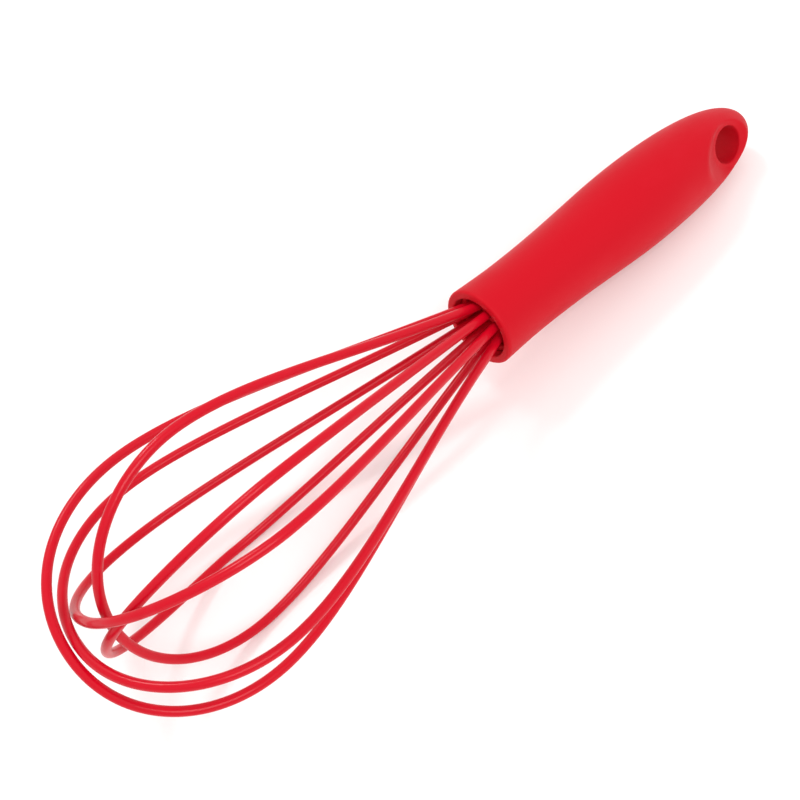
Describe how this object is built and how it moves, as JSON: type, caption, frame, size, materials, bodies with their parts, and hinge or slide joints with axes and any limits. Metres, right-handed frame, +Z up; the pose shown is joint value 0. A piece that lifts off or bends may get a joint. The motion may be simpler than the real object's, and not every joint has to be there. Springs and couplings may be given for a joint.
{
  "type": "balloon whisk",
  "caption": "Hand whisk with a balloon of silicone-coated wire loops, a soft contoured grip and a hang hole through its tapered end.",
  "frame": {"origin": "on the table plane, under the middle of the whisk's bounding box, with the whisk lying on its side", "axes": "+X along the whisk towards the crown of the wires, +Z up, the handle's axis climbing 6.85 degrees towards +X"},
  "size_m": [0.2792, 0.0804, 0.0748],
  "materials": {
    "soft_grip": "matt soft-touch red",
    "silicone": "satin red silicone",
    "hard_plastic": "moulded red plastic",
    "resin": "cast amber resin",
    "spring_steel": "drawn spring wire"
  },
  "bodies": {
    "root": {"grip_sleeve": "soft_grip", "handle_core": "hard_plastic", "wire_holder": "hard_plastic", "wire_potting": "resin", "loop_1_jacket": "silicone", "loop_2_jacket": "silicone", "loop_3_jacket": "silicone", "loop_4_jacket": "silicone", "loop_5_jacket": "silicone", "loop_1_steel": "spring_steel", "loop_2_steel": "spring_steel", "loop_3_steel": "spring_steel", "loop_4_steel": "spring_steel", "loop_5_steel": "spring_steel"}
  },
  "joints": []
}
